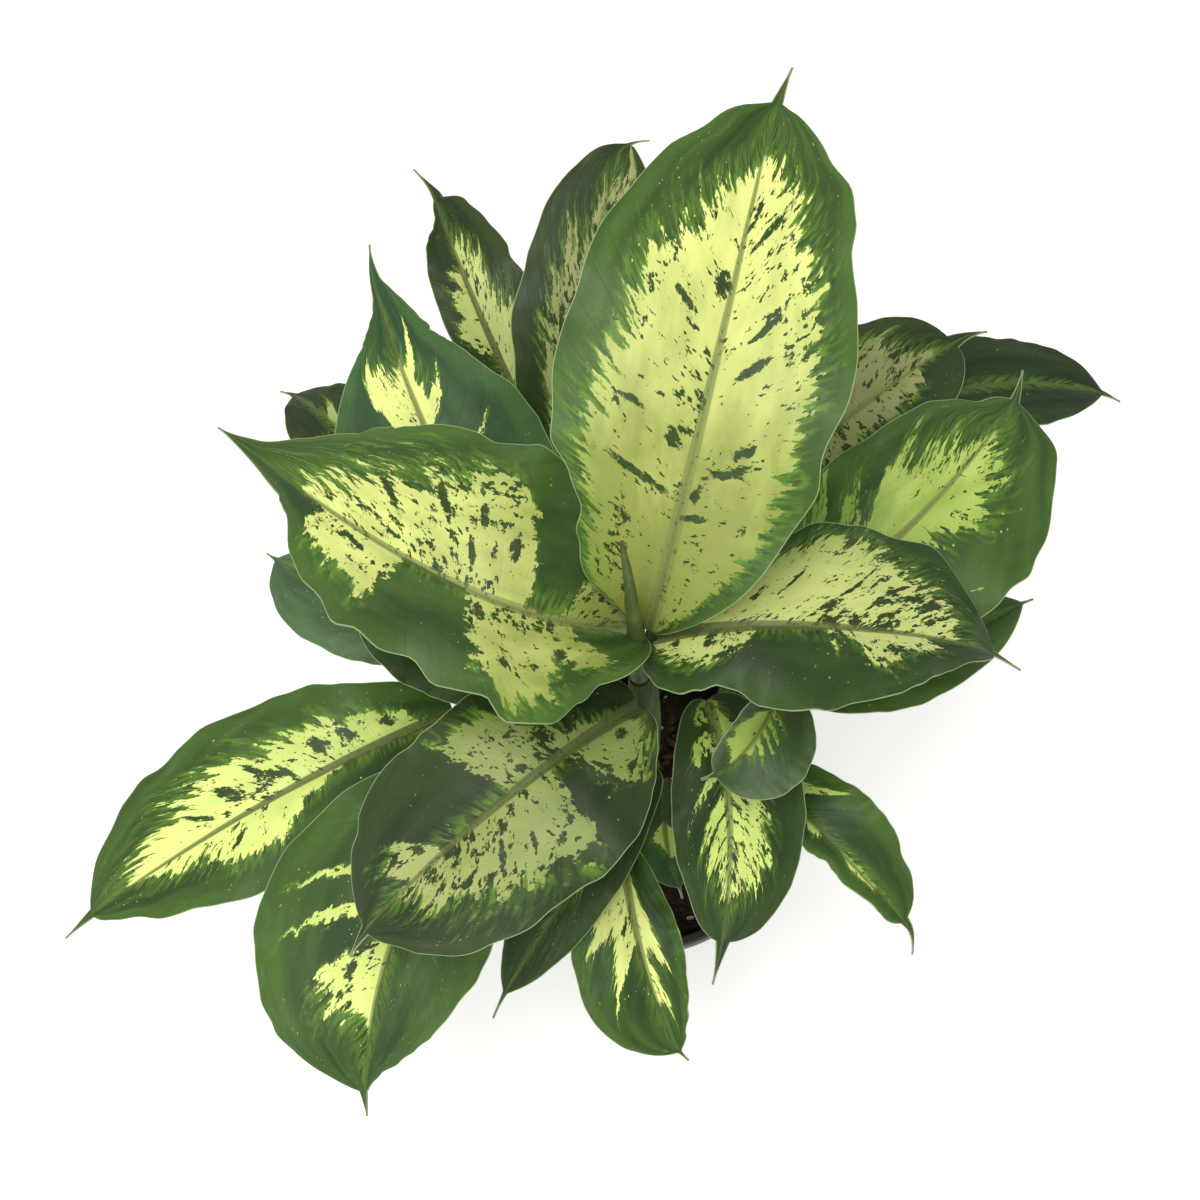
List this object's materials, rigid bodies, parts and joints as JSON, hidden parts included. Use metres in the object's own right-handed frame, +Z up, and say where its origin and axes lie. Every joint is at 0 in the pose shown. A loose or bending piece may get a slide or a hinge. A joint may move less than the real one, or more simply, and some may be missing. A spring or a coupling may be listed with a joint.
{
  "type": "potted dieffenbachia",
  "caption": "Bushy house plant with broad pointed green and cream leaves on upright canes, growing in a plain tapered nursery pot.",
  "frame": {"origin": "middle of the pot's underside, on the surface that the pot stands on", "axes": "+Z up, along the pot's axis; +Y to the back of the plant, where the tallest leaf leans; +X to the right as pictured"},
  "size_m": [0.5095, 0.4266, 0.4093],
  "materials": {
    "pot_plastic": "black moulded nursery-pot plastic with a low sheen",
    "potting_soil": "dark crumbly peat and bark potting mix",
    "cane_green": "smooth green cane with pale leaf-scar rings",
    "leaf_blade": "satin green leaf with cream-yellow flecks that follow the side veins",
    "new_leaf": "satin grey-green rolled new leaf"
  },
  "bodies": {
    "root": {"pot": "pot_plastic", "soil": "potting_soil", "cane_centre": "cane_green", "cane_back": "cane_green", "cane_left": "cane_green", "cane_front": "cane_green", "cane_right": "cane_green", "new_leaf_centre": "new_leaf", "leaf_centre_1": "leaf_blade", "leaf_centre_2": "leaf_blade", "leaf_centre_3": "leaf_blade", "leaf_centre_4": "leaf_blade", "leaf_centre_5": "leaf_blade", "leaf_centre_6": "leaf_blade", "leaf_back_1": "leaf_blade", "leaf_back_2": "leaf_blade", "leaf_back_3": "leaf_blade", "leaf_back_4": "leaf_blade", "leaf_back_5": "leaf_blade", "leaf_left_1": "leaf_blade", "leaf_left_2": "leaf_blade", "leaf_left_3": "leaf_blade", "leaf_front_1": "leaf_blade", "leaf_front_2": "leaf_blade", "leaf_right_1": "leaf_blade", "leaf_right_2": "leaf_blade", "leaf_right_3": "leaf_blade", "leaf_right_4": "leaf_blade", "leaf_right_5": "leaf_blade", "leaf_right_6": "leaf_blade"}
  },
  "joints": []
}
